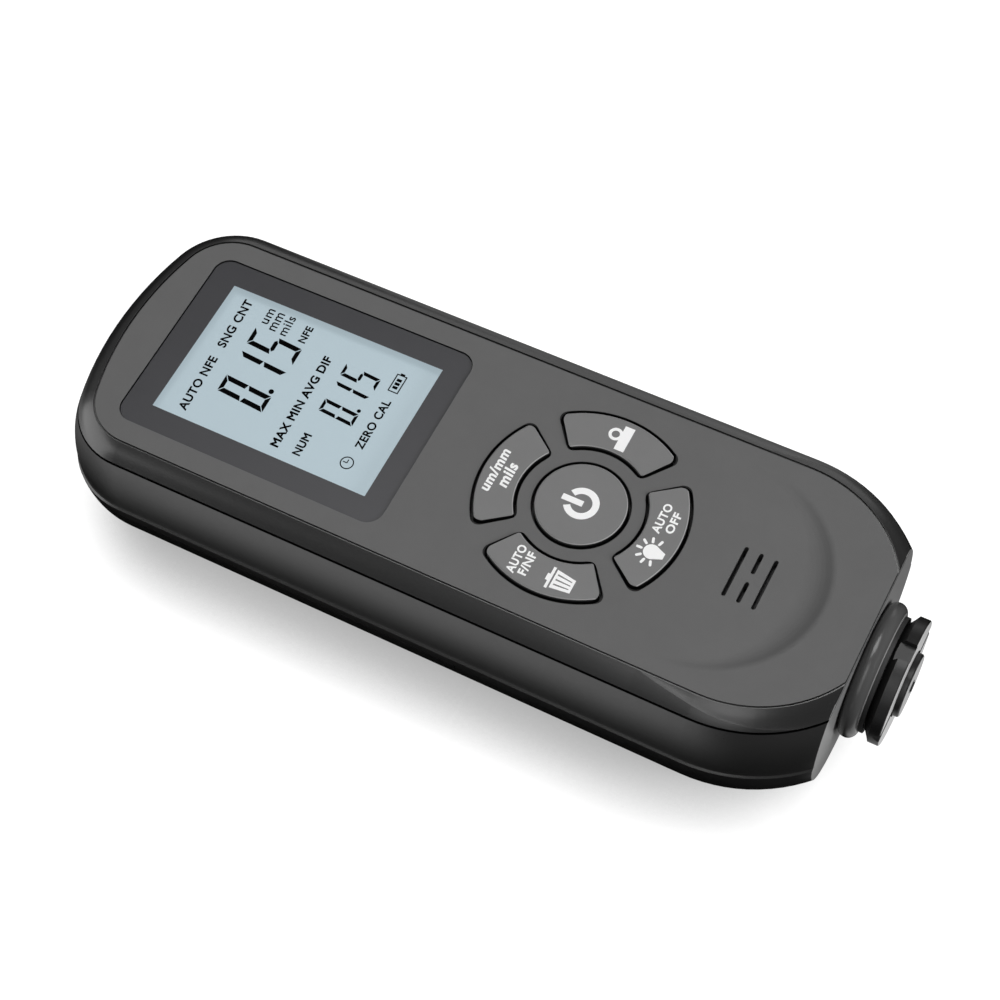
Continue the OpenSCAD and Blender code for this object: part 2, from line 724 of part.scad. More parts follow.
// Coil on the stem, which also stops the head behind the sleeve.
module probe_coil() color("DarkGoldenrod") {
    on_probe_axis() rotate_extrude() polygon([[stem_radius + 0.02, coil_back], [coil_radius, coil_back],
        [coil_radius, coil_back + 0.8], [coil_radius - 0.6, coil_back + 0.8], [coil_radius - 0.6, coil_front - 0.8],
        [coil_radius, coil_front - 0.8], [coil_radius, coil_front], [stem_radius + 0.02, coil_front]]);
}

// Spring that pushes the head out.
module probe_spring() color("Silver") {
    on_probe_axis() coil(spring_start + wire / 2, coil_back - wire / 2, 2.9, 2.9, 6, wire / 2);
}

at_frame() front_shell();
at_frame() rear_shell();
at_frame() battery_door();
at_frame() display_window();
at_frame() window_gasket();
at_frame() lcd_panel();
at_frame() backlight();
at_frame() zebra_strip();
at_frame() main_board();
at_frame() board_chips();
at_frame() key_switches();
at_frame() power_key();
at_frame() unit_key();
at_frame() lamp_key();
at_frame() zero_key();
at_frame() mode_key();
at_frame() buzzer();
at_frame() battery_cells();
at_frame() battery_springs();
at_frame() battery_plates();
at_frame() case_screws();
at_frame() probe_collar();
at_frame() seal_ring();
at_frame() probe_sleeve();
at_frame() measuring_head();
at_frame() measuring_tip();
at_frame() probe_coil();
at_frame() probe_spring();
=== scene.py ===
"""Dresses the hand-held coating thickness gauge and sets it in a plain studio."""
import logging
import math
from dataclasses import dataclass
from enum import Enum
from typing import Any, Callable, Iterable, Optional, Sequence

import bpy
from mathutils import Matrix, Vector


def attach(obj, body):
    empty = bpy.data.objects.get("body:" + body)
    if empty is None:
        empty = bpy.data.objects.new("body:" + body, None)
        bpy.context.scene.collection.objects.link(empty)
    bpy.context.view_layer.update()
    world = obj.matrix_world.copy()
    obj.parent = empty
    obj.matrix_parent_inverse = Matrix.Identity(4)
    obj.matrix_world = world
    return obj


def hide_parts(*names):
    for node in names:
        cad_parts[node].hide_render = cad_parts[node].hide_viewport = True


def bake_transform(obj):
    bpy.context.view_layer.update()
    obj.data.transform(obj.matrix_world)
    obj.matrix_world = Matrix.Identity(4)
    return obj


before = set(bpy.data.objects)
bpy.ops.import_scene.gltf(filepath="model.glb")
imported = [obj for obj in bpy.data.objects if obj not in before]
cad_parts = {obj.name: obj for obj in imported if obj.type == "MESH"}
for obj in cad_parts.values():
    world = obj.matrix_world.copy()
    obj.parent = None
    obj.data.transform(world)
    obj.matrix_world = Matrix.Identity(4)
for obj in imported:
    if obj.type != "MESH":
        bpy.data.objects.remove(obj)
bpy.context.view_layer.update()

LOG = logging.getLogger("gauge")
MM = 0.001

Colour = tuple[float, float, float]
Point = tuple[float, float]
Place = tuple[float, float, float]
Box = tuple[float, float, float, float]


class Body(Enum):
    """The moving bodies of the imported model."""

    CASE = "body"
    DOOR = "door"
    POWER = "power"
    UNIT = "unit"
    LAMP = "lamp"
    ZERO = "zero"
    MODE = "mode"
    HEAD = "head"


class Slot(Enum):
    """Names of the record's material slots, handed to new pieces but not used."""

    KEY = "key_grey"
    DISPLAY = "display"
    STEEL = "screw_steel"


@dataclass(frozen=True)
class GaugeFrame:
    """Sizes of the gauge that several sub-assemblies share, in millimetres."""

    height: float = 24.7
    station_zero: float = -45.62
    key_station: float = 13.5
    panel_depth: float = 1.6
    probe_height: float = 13.5

    def x(self, run: float) -> float:
        """Turns a run from the display's title edge into a frame X."""
        return run + self.station_zero


GAUGE = GaugeFrame()
END_FACE = 53.46
# Painted shade: the black painted into key openings, down key sides, on the seam ledge and along the end face's top,
# where gaps fall into shade.
PAINTED_GAP_SHADE = (0.002, 0.002, 0.002)


def linear(hex_code: str) -> Colour:
    """Turns a screen colour into scene-linear values.

    Args:
        hex_code: six hexadecimal digits.
    Returns:
        Red, green and blue in the scene's linear space.
    """
    parts = [int(hex_code[i:i + 2], 16) / 255 for i in (0, 2, 4)]
    return tuple(v / 12.92 if v <= 0.04045 else ((v + 0.055) / 1.055) ** 2.4 for v in parts)


@dataclass
class Wire:
    """A value in a shader graph that takes part in Python arithmetic."""

    graph: "Graph"
    socket: bpy.types.NodeSocket

    def _math(self, kind: str, first: Any, second: Any = None) -> "Wire":
        """Adds one Math node on two values."""
        sockets = {0: first} if second is None else {0: first, 1: second}
        return Wire(self.graph, self.graph.add("ShaderNodeMath", {"operation": kind}, sockets).outputs[0])

    def __add__(self, other: Any) -> "Wire":
        """Sum."""
        return self._math("ADD", self, other)

    __radd__ = __add__

    def __sub__(self, other: Any) -> "Wire":
        """Difference."""
        return self._math("SUBTRACT", self, other)

    def __rsub__(self, other: Any) -> "Wire":
        """Reflected difference."""
        return self._math("SUBTRACT", other, self)

    def __mul__(self, other: Any) -> "Wire":
        """Product."""
        return self._math("MULTIPLY", self, other)

    __rmul__ = __mul__

    def __truediv__(self, other: Any) -> "Wire":
        """Quotient."""
        return self._math("DIVIDE", self, other)

    def __gt__(self, other: Any) -> "Wire":
        """One where this is greater."""
        return self._math("GREATER_THAN", self, other)

    def __lt__(self, other: Any) -> "Wire":
        """One where this is less."""
        return self._math("LESS_THAN", self, other)

    def magnitude(self) -> "Wire":
        """Absolute value."""
        return self._math("ABSOLUTE", self)

    def root(self) -> "Wire":
        """Square root."""
        return self._math("SQRT", self)

    def larger(self, other: Any) -> "Wire":
        """The larger of two values."""
        return self._math("MAXIMUM", self, other)

    def smaller(self, other: Any) -> "Wire":
        """The smaller of two values."""
        return self._math("MINIMUM", self, other)

    def wave(self) -> "Wire":
        """Sine."""
        return self._math("SINE", self)

    def turn(self, other: Any) -> "Wire":
        """Angle, in radians, whose tangent is this over the other."""
        return self._math("ARCTAN2", self, other)

    def ease(self, low: float, high: float) -> "Wire":
        """A smooth step from 0 at low to 1 at high."""
        node = self.graph.add("ShaderNodeMapRange", {"interpolation_type": "SMOOTHSTEP"},
                              {"Value": self, "From Min": low, "From Max": high})
        return Wire(self.graph, node.outputs[0])


class Graph:
    """The node graph of one material, with a Principled shader at its end."""

    def __init__(self, name: str) -> None:
        """Starts an empty material of that name."""
        self.material = bpy.data.materials.new(name)
        self.material.use_nodes = True
        self.tree = self.material.node_tree
        self.tree.nodes.clear()
        self.shader = self.add("ShaderNodeBsdfPrincipled")
        self.output = self.add("ShaderNodeOutputMaterial", None, {"Surface": self.shader.outputs[0]})
        self._place: Optional[tuple[Wire, Wire, Wire]] = None
        self._coords: Optional[bpy.types.NodeSocket] = None

    def add(self, kind: str, settings: Optional[dict[str, Any]] = None,
            sockets: Optional[dict[Any, Any]] = None) -> bpy.types.Node:
        """Adds a node of any kind.

        Args:
            kind: the node's type name.
            settings: attributes, set before its sockets.
            sockets: input names or numbers with values, wires or sockets.
        Returns:
            The new node.
        """
        node = self.tree.nodes.new(kind)
        for key, value in (settings or {}).items():
            setattr(node, key, value)
        for key, value in (sockets or {}).items():
            self.feed(node.inputs[key], value)
        return node

    def feed(self, socket: bpy.types.NodeSocket, value: Any) -> None:
        """Links a wire or socket to an input, or sets the input's own value."""
        if isinstance(value, Wire):
            self.tree.links.new(value.socket, socket)
        elif isinstance(value, bpy.types.NodeSocket):
            self.tree.links.new(value, socket)
        elif isinstance(value, tuple) and len(value) == 3 and socket.type == "RGBA":
            socket.default_value = (*value, 1)
        else:
            socket.default_value = value

    def coords(self) -> bpy.types.NodeSocket:
        """Object coordinates."""
        if self._coords is None:
            self._coords = self.add("ShaderNodeTexCoord").outputs["Object"]
        return self._coords

    def place(self) -> tuple[Wire, Wire, Wire]:
        """X, Y and Z of the surface in millimetres."""
        if self._place is None:
            scaled = self.add("ShaderNodeVectorMath", {"operation": "SCALE"}, {0: self.coords(), "Scale": 1 / MM})
            split = self.add("ShaderNodeSeparateXYZ", None, {0: scaled.outputs[0]})
            self._place = tuple(Wire(self, s) for s in split.outputs)
        return self._place

    def noise(self, scale: float, detail: float = 2.0) -> Wire:
        """Noise of that many features a metre."""
        node = self.add("ShaderNodeTexNoise", None,
                        {"Vector": self.coords(), "Scale": scale, "Detail": detail, "Roughness": 0.55})
        return Wire(self, node.outputs[0])

    def mix(self, mask: Any, low: Any, high: Any) -> bpy.types.NodeSocket:
        """A colour between two by a mask."""
        node = self.add("ShaderNodeMix", {"data_type": "RGBA"}, {0: mask, 6: low, 7: high})
        return node.outputs[2]

    def bump(self, height: Wire, depth: float) -> None:
        """Feeds the shader's normal from a height of that depth in metres."""
        node = self.add("ShaderNodeBump", None, {"Height": height, "Distance": depth, "Strength": 1.0})
        self.feed(self.shader.inputs["Normal"], node.outputs[0])

    def set(self, **values: Any) -> None:
        """Sets or links the Principled shader's inputs, underscores standing for spaces."""
        for key, value in values.items():
            self.feed(self.shader.inputs[key.replace("_", " ")], value)


def dist(first: Wire, second: Wire, centre: Point) -> Wire:
    """Distance of two coordinates from a centre, in millimetres."""
    a, b = first - centre[0], second - centre[1]
    return (a * a + b * b).root()


@dataclass(frozen=True)
class Finish:
    """A moulded plastic: colour with a faint mottle, and a fine grain."""

    name: str
    colour: Colour
    roughness: float = 0.5
    mottle: float = 0.06
    grain: float = 9000.0
    grain_depth: float = 0.000012
    specular: float = 0.5
    metallic: float = 0.0
    mottle_scale: float = 260.0
    sheen_scale: float = 900.0

    def tint(self, graph: Graph) -> bpy.types.NodeSocket:
        """The colour over the surface, lighter and darker by the mottle."""
        low = tuple(c * (1 - self.mottle) for c in self.colour)
        high = tuple(c * (1 + self.mottle) for c in self.colour)
        return graph.mix(graph.noise(self.mottle_scale, 3.0), low, high)

    def metal(self, graph: Graph) -> Any:
        """How metallic it is."""
        return self.metallic

    def relief(self, graph: Graph) -> Wire:
        """The height that gives the grain."""
        return graph.noise(self.grain, 1.0)

    def make(self) -> bpy.types.Material:
        """Builds the material.

        Returns:
            The finished material.
        """
        graph = Graph(self.name)
        graph.set(Base_Color=self.tint(graph), Specular_IOR_Level=self.specular, Metallic=self.metal(graph))
        graph.set(Roughness=self.roughness - 0.05 + 0.1 * graph.noise(self.sheen_scale))
        graph.bump(self.relief(graph), self.grain_depth)
        return graph.material


@dataclass(frozen=True)
class FaceFinish(Finish):
    """The front shell: a grey face inside the seam and a darker band round it, with painted shade round and inside
    the key openings and along the end face's top, and the end face painted lighter as painted light.
    """

    band: Colour = linear("1c1c1c")
    # Painted light: the end face's lighter grey, as if lit from the probe's side.
    end: Colour = linear("8f8f8f")
    band_roughness: float = 0.34
    face_level: float = 24.69
    # Level above which the end face takes painted shade, black, along its top edge.
    end_shade: float = 23.95
    dish: Point = (34.2, 0.0)
    dish_radius: float = 16.0
    dish_start: float = 29.9
    dish_fall: float = 0.0875
    dish_ease: float = 9.0
    coat: float = 0.9
    coat_roughness: float = 0.25
    coat_index: float = 1.6
    keyhole_radius: float = 15.0
    arc_middle: float = 11.375
    arc_half: float = 3.025
    arc_angle: float = math.radians(38.0)
    arc_corner: float = 1.2
    power_radius: float = 6.5
    # Width of the painted shade line round each key opening.
    keyline: float = 0.06

    def keyhole_shade_line(self, graph: Graph) -> Wire:
        """One on the painted shade: a dark line painted round each key opening, where the gap is in shade."""
        x, y, _ = graph.place()
        x, radius = (x - GAUGE.key_station).magnitude(), dist(x, y, (GAUGE.key_station, 0.0))
        y = y.magnitude()
        aside = (x.smaller(y).turn(x.larger(y)) - self.arc_angle) * radius
        past = (radius - self.arc_middle).magnitude() - self.arc_half
        a, b = (past + self.arc_corner).larger(0), (aside + self.arc_corner).larger(0)
        arcs = ((a * a + b * b).root() - self.arc_corner) < self.keyline
        return arcs.larger(radius < self.power_radius + self.keyline)

    def hollow(self, graph: Graph) -> Wire:
        """Height, in millimetres, that eases the dish floor into the face and into the dish's wall."""
        x, _, z = graph.place()
        run = (x - self.dish_start).larger(0)
        deep = (run * self.dish_fall).larger(0.001)
        share = ((z - GAUGE.height) / deep + 1).larger(0).smaller(1)
        near = run.smaller(self.dish_ease)
        start = (near - near * near / (2 * self.dish_ease)) * self.dish_fall
        return start * (1 - share.ease(0.0, 1.0)) - deep * share * (1 - share) * (1 - share)

    def make(self) -> bpy.types.Material:
        """Builds the material.

        Returns:
            The finished material.
        """
        graph = Graph(self.name)
        x, y, z = graph.place()
        face = (z > self.face_level).larger(dist(x, y, self.dish) < self.dish_radius)
        keyhole = dist(x, y, (GAUGE.key_station, 0.0)) < self.keyhole_radius
        # Painted light and shade on the end face: lighter grey as if lit from the probe's side, with painted shade,
        # black, along its top above end_shade.
        end = graph.mix(z > self.end_shade, self.end, PAINTED_GAP_SHADE)
        # Painted shade: the walls of the key openings are painted black.
        sides = graph.mix(x > END_FACE, graph.mix(keyhole, self.band, PAINTED_GAP_SHADE), end)
        # Painted shade: a dark line painted on the face round each key opening.
        grey = graph.mix(self.keyhole_shade_line(graph), self.tint(graph), PAINTED_GAP_SHADE)
        graph.set(Base_Color=graph.mix(face * (x < END_FACE), sides, grey), Specular_IOR_Level=self.specular)
        graph.set(Coat_Weight=(1 - face) * self.coat, Coat_Roughness=self.coat_roughness,
                  Coat_IOR=self.coat_index)
        graph.set(Roughness=face * (self.roughness - self.band_roughness) + self.band_roughness
                  + 0.06 * graph.noise(self.sheen_scale) - 0.03)
        graph.bump(self.relief(graph) * (self.grain_depth / MM) + self.hollow(graph), MM)
        return graph.material


@dataclass(frozen=True)
class LitFrontFinish(Finish):
    """A plastic whose faces past a plane across the probe axis are painted lighter: painted light, as if lit from
    the probe's side.
    """

    # Painted light: the lighter colour of the faces past the plane.
    front: Colour = linear("8f8f8f")
    plane: float = END_FACE

    def tint(self, graph: Graph) -> bpy.types.NodeSocket:
        """The plastic's colour behind the plane and the lighter, painted-light colour past it."""
        x, _, _ = graph.place()
        return graph.mix(x > self.plane, Finish.tint(self, graph), self.front)


@dataclass(frozen=True)
class ShellFinish(LitFrontFinish):
    """The rear shell's plastic, with painted shade, black, on the ledge that meets the front shell."""

    ledge_level: float = 15.0
    ledge_slope: float = 0.8

    def ledge(self, graph: Graph) -> Wire:
        """One on the surfaces that look up near the seam, which take the painted shade."""
        _, _, z = graph.place()
        normal = graph.add("ShaderNodeNewGeometry").outputs["Normal"]
        upward = Wire(graph, graph.add("ShaderNodeSeparateXYZ", None, {0: normal}).outputs[2])
        return (upward > self.ledge_slope) * (z > self.ledge_level)

    def tint(self, graph: Graph) -> bpy.types.NodeSocket:
        """The shell's colours, and painted shade, black, on the ledge."""
        return graph.mix(self.ledge(graph), LitFrontFinish.tint(self, graph), PAINTED_GAP_SHADE)

    def metal(self, graph: Graph) -> Wire:
        """Metallic on the painted-shade ledge alone, which takes its gloss away."""
        return self.ledge(graph)


@dataclass(frozen=True)
class KeyFinish(Finish):
    """A key's plastic, with painted shade, black, down the sides that stand in its opening, and a painted highlight
    on its eased edge.
    """

    side_shade_top: float = 24.92
    edge_highlight_top: float = 25.03
    # Painted highlight: the lighter grey of the eased edge.
    edge: Colour = linear("9a9a9a")

    def tint(self, graph: Graph) -> bpy.types.NodeSocket:
        """Grey on the top, a painted highlight on its eased edge and painted shade below."""
        _, _, z = graph.place()
        upper = graph.mix(z > self.edge_highlight_top, self.edge, Finish.tint(self, graph))
        return graph.mix(z > self.side_shade_top, PAINTED_GAP_SHADE, upper)


@dataclass(frozen=True)
class WindowFinish:
    """The display window: a dark printed border round a clear area."""

    name: str = "window_print"
    border: Colour = linear("3d3d40")
    run: float = 33.0
    half_width: float = 10.92
    upper: float = 24.4
    clear: float = 0.01

    def make(self) -> bpy.types.Material:
        """Builds the material.

        Returns:
            The finished material.
        """
        graph = Graph(self.name)
        x, y, z = graph.place()
        middle = GAUGE.x(self.run / 2)
        inside = ((x - middle).magnitude() < self.run / 2) * (y.magnitude() < self.half_width)
        shade = graph.mix(graph.noise(180.0, 3.0), tuple(c * 0.95 for c in self.border),
                          tuple(c * 1.05 for c in self.border))
        graph.set(Base_Color=shade, Roughness=0.3 + 0.06 * graph.noise(700.0), Specular_IOR_Level=0.3)
        graph.set(Alpha=(z > self.upper) * (1 - inside * (1 - self.clear)))
        return graph.material


@dataclass(frozen=True)
class PanelFinish:
    """The display panel: pale blue-grey, a little lighter to one side."""

    name: str = "display_panel"
    colour: Colour = linear("b0c1c9")
    # The glow stands for the backlight and also evens out the shade that the window's border casts on the panel:
    # partly painted light.
    glow: float = 0.8
    cover: float = 0.25

    def make(self) -> bpy.types.Material:
        """Builds the material.

        Returns:
            The finished material.
        """
        graph = Graph(self.name)
        x, _, _ = graph.place()
        drift = (x + 0.4 * graph.noise(150.0)).ease(GAUGE.x(-2), GAUGE.x(36))
        low, high = (tuple(c * k * self.cover for c in self.colour) for k in (0.97, 1.03))
        # Painted light in part: the emission keeps the panel evenly pale under the window's border.
        graph.set(Base_Color=graph.mix(drift, low, high), Emission_Color=self.colour, Emission_Strength=self.glow,
                  Roughness=0.45 + 0.08 * graph.noise(500.0), Specular_IOR_Level=0.25)
        return graph.material


@dataclass(frozen=True)
class TurnedFinish(Finish):
    """A piece turned about the probe axis, with fine rings on its faces."""

    ring: float = 0.22

    def relief(self, graph: Graph) -> Wire:
        """The height of the turning rings."""
        _, y, z = graph.place()
        radius = dist(y, z, (0.0, GAUGE.probe_height))
        return (radius * (2 * math.pi / self.ring)).wave() * 0.5 + 0.3 * graph.noise(self.grain)


@dataclass(frozen=True)
class CellFinish(Finish):
    """A plain wrapped cell, darker towards one end."""

    lower: Colour = linear("26282b")
    band_end: float = -22.0

    def tint(self, graph: Graph) -> bpy.types.NodeSocket:
        """Two plain bands along the cell."""
        x, _, _ = graph.place()
        return graph.mix((x + 0.2 * graph.noise(300.0)) < self.band_end, Finish.tint(self, graph), self.lower)


@dataclass(frozen=True)
class BoardFinish(Finish):
    """A circuit board with thin tracks under its lacquer."""

    track: Colour = linear("2f7a4a")
    waves: Point = (2.4, 1.7)
    track_width: float = 0.12

    def tint(self, graph: Graph) -> bpy.types.NodeSocket:
        """Green lacquer, lighter over the tracks."""
        x, y, _ = graph.place()
        lines = ((x * self.waves[0]).wave() * (y * self.waves[1]).wave()).magnitude() < self.track_width
        return graph.mix(lines, Finish.tint(self, graph), self.track)


@dataclass(frozen=True)
class PrintFinish(Finish):
    """Ink of a printed sign."""

    mottle: float = 0.02
    grain_depth: float = 0.000004


class Ink(Enum):
    """The inks of the printed signs."""

    WHITE = PrintFinish("sign_white", linear("fefefe"), 0.6, specular=0.2)
    BLACK = PrintFinish("segment_black", linear("020202"), 0.8, specular=0.02)


class Maker:
    """Models flat signs with Blender's own operators."""

    LETTER_STEPS = 6
    LETTER_SPACE = 1.08
    LETTER_WELD = 1e-4

    @staticmethod
    def clear() -> None:
        """Leaves edit mode and deselects everything."""
        if bpy.context.object and bpy.context.object.mode != "OBJECT":
            bpy.ops.object.mode_set(mode="OBJECT")
        bpy.ops.object.select_all(action="DESELECT")

    @classmethod
    def outline(cls, points: Sequence[Point], level: float, thick: float) -> bpy.types.Object:
        """Makes a thin flat piece from an outline in the frame's X and Y.

        Args:
            points: the outline in millimetres.
            level: height of its underside in millimetres.
            thick: thickness in millimetres.
        Returns:
            The new piece.
        """
        cls.clear()
        bpy.ops.mesh.primitive_circle_add(vertices=len(points), radius=MM, fill_type="NGON")
        piece = bpy.context.object
        for vertex, (x, y) in zip(piece.data.vertices, points):
            vertex.co = (x * MM, y * MM, level * MM)
        cls.raise_up(thick)
        return piece

    @classmethod
    def word(cls, text: str, box: Box, spot: Callable[[float, float], Point],
             level: float, thick: float, weight: float = 0.0, slant: float = 0.0) -> bpy.types.Object:
        """Makes a word that reads along Y with its top towards -X, filling a box.

        Args:
            text: the word.
            box: lowest run, highest run, lowest Y, highest Y in millimetres.
            spot: turns a run and a Y into the frame's X and Y.
            level: height of its underside in millimetres.
            thick: thickness in millimetres.
            weight: how far the letters' outlines are grown, in parts of their size.
            slant: how far the letters lean, in parts of their height.
        Returns:
            The word as a mesh.
        """
        cls.clear()
        bpy.ops.object.text_add(location=(0, 0, 0))
        piece = bpy.context.object
        piece.data.body = text
        piece.data.fill_mode = "FRONT"
        piece.data.resolution_u = cls.LETTER_STEPS
        piece.data.space_character = cls.LETTER_SPACE
        bpy.ops.object.convert(target="MESH")
        piece = bpy.context.object
        bpy.ops.object.mode_set(mode="EDIT")
        bpy.ops.mesh.select_all(action="SELECT")
        bpy.ops.mesh.remove_doubles(threshold=cls.LETTER_WELD)
        bpy.ops.object.mode_set(mode="OBJECT")
        cls.embolden(piece.data, weight)
        low = [min(v.co[i] for v in piece.data.vertices) for i in range(2)]
        high = [max(v.co[i] for v in piece.data.vertices) for i in range(2)]
        tall = box[1] - box[0]
        wide = box[3] - box[2] - slant * tall
        for vertex in piece.data.vertices:
            across, rise = ((vertex.co[i] - low[i]) / (high[i] - low[i]) for i in range(2))
            x, y = spot(box[1] - rise * tall, box[2] + across * wide + slant * tall * rise)
            vertex.co = (x * MM, y * MM, level * MM)
        cls.raise_up(thick)
        return piece

    @staticmethod
    def embolden(mesh: bpy.types.Mesh, weight: float) -> None:
        """Moves the outline of a flat word outwards by the weight, sharp corners by no more than twice it."""
        used: dict[tuple[int, int], int] = {}
        for face in mesh.polygons:
            for key in face.edge_keys:
                used[key] = used.get(key, 0) + 1
        normals: dict[int, list[Vector]] = {}
        for face in mesh.polygons:
            loop = list(face.vertices)
            for a, b in zip(loop, loop[1:] + loop[:1]):
                if used[(min(a, b), max(a, b))] == 1:
                    along = (mesh.vertices[b].co - mesh.vertices[a].co).normalized()
                    outward = Vector((along.y, -along.x, 0)) * math.copysign(1, face.normal.z)
                    for end in (a, b):
                        normals.setdefault(end, []).append(outward)
        for index, pair in normals.items():
            if len(pair) == 2:
                total = pair[0] + pair[1]
                mesh.vertices[index].co += weight * total / max(1 + pair[0].dot(pair[1]), 0.5)

    @staticmethod
    def raise_up(thick: float) -> None:
        """Extrudes the active flat piece upwards by that many millimetres."""
        bpy.ops.object.mode_set(mode="EDIT")
        bpy.ops.mesh.select_all(action="SELECT")
        bpy.ops.mesh.extrude_region_move(TRANSFORM_OT_translate={"value": (0, 0, thick * MM)})
        bpy.ops.mesh.select_all(action="SELECT")
        bpy.ops.mesh.normals_make_consistent(inside=False)
        bpy.ops.object.mode_set(mode="OBJECT")

    @classmethod
    def join(cls, pieces: Sequence[bpy.types.Object], name: str, body: Body, slot: Slot,
             material: bpy.types.Material) -> bpy.types.Object:
        """Joins pieces into one that rides on a body.

        Args:
            pieces: what is joined.
            name: the joined piece's name.
            body: the body that carries it.
            slot: not used.
            material: its material.
        Returns:
            The joined piece.
        """
        cls.clear()
        for piece in pieces:
            piece.select_set(True)
        bpy.context.view_layer.objects.active = pieces[0]
        if len(pieces) > 1:
            bpy.ops.object.join()
        joined = bpy.context.object
        bpy.ops.object.transform_apply(location=True, rotation=True, scale=True)
        joined.name = joined.data.name = name
        joined.data.materials.clear()
        joined.data.materials.append(material)
        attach(joined, body.value)
        LOG.info("piece %s on %s", name, body.value)
        return joined


def arc(centre: Point, radius: float, start: float, end: float, steps: int = 24) -> list[Point]:
    """Points along an arc.

    Args:
        centre: the arc's centre.
        radius: its radius.
        start: first angle in degrees.
        end: last angle in degrees.
        steps: number of pieces.
    Returns:
        The points from start to end.
    """
    angles = [math.radians(start + (end - start) * i / steps) for i in range(steps + 1)]
    return [(centre[0] + radius * math.cos(a), centre[1] + radius * math.sin(a)) for a in angles]


def ring(centre: Point, inner: float, outer: float, start: float = 0.0, end: float = 359.5) -> list[Point]:
    """Outline of a ring or part of one.

    Args:
        centre: the ring's centre.
        inner: inner radius.
        outer: outer radius.
        start: first angle in degrees.
        end: last angle in degrees.
    Returns:
        The closed outline.
    """
    return arc(centre, outer, start, end, 40) + arc(centre, inner, end, start, 40)


def bar(first: Point, second: Point, width: float) -> list[Point]:
    """Outline of a straight bar between two points."""
    a, b = Vector(first), Vector(second)
    side = (b - a).orthogonal().normalized() * width / 2
    return [tuple(a + side), tuple(a - side), tuple(b - side), tuple(b + side)]


def capsule(first: Point, second: Point, width: float) -> list[Point]:
    """Outline of a straight bar with round ends."""
    way = Vector(second) - Vector(first)
    angle = math.degrees(math.atan2(way.y, way.x))
    return arc(second, width / 2, angle - 90, angle + 90, 8) + arc(first, width / 2, angle + 90, angle + 270, 8)


def rect(x0: float, x1: float, y0: float, y1: float) -> list[Point]:
    """Outline of a rectangle."""
    return [(x0, y0), (x1, y0), (x1, y1), (x0, y1)]


@dataclass
class Digit:
    """One seven-segment figure that reads along Y, its top towards -X."""

    shown: str
    top: float
    base: float
    left: float
    width: float
    stroke: float
    lean: float = 0.071
    gap: float = 0.09
    flat: float = 0.82

    LIT = {"0": "abcdef", "1": "bc", "5": "acdfg"}

    def spot(self, across: float, up: float) -> Point:
        """A point of the figure, across and up from its lower left."""
        return (self.base - up, self.left + across + up * self.lean)

    def outlines(self) -> list[list[Point]]:
        """Outlines of the lit segments, mitred at their ends."""
        high, wide, t, k = self.base - self.top, self.width, self.stroke, self.gap
        u, mid = t * self.flat, (self.base - self.top) / 2
        left_low = [(0, k), (t, u + k), (t, mid - u / 2 - k / 2), (0, mid - k / 2)]
        level = [(k, 0), (wide - k, 0), (wide - t - k, u), (t + k, u)]
        shapes = {"e": left_low, "f": [(x, high - y) for x, y in left_low], "d": level,
                  "c": [(wide - x, y) for x, y in left_low], "b": [(wide - x, high - y) for x, y in left_low],
                  "a": [(x, high - y) for x, y in level],
                  "g": [(t / 2 + k, mid), (t + k, mid + u / 2), (wide - t - k, mid + u / 2), (wide - t / 2 - k, mid),
                        (wide - t - k, mid - u / 2), (t + k, mid - u / 2)]}
        return [[self.spot(x, y) for x, y in shapes[name]] for name in self.LIT[self.shown]]


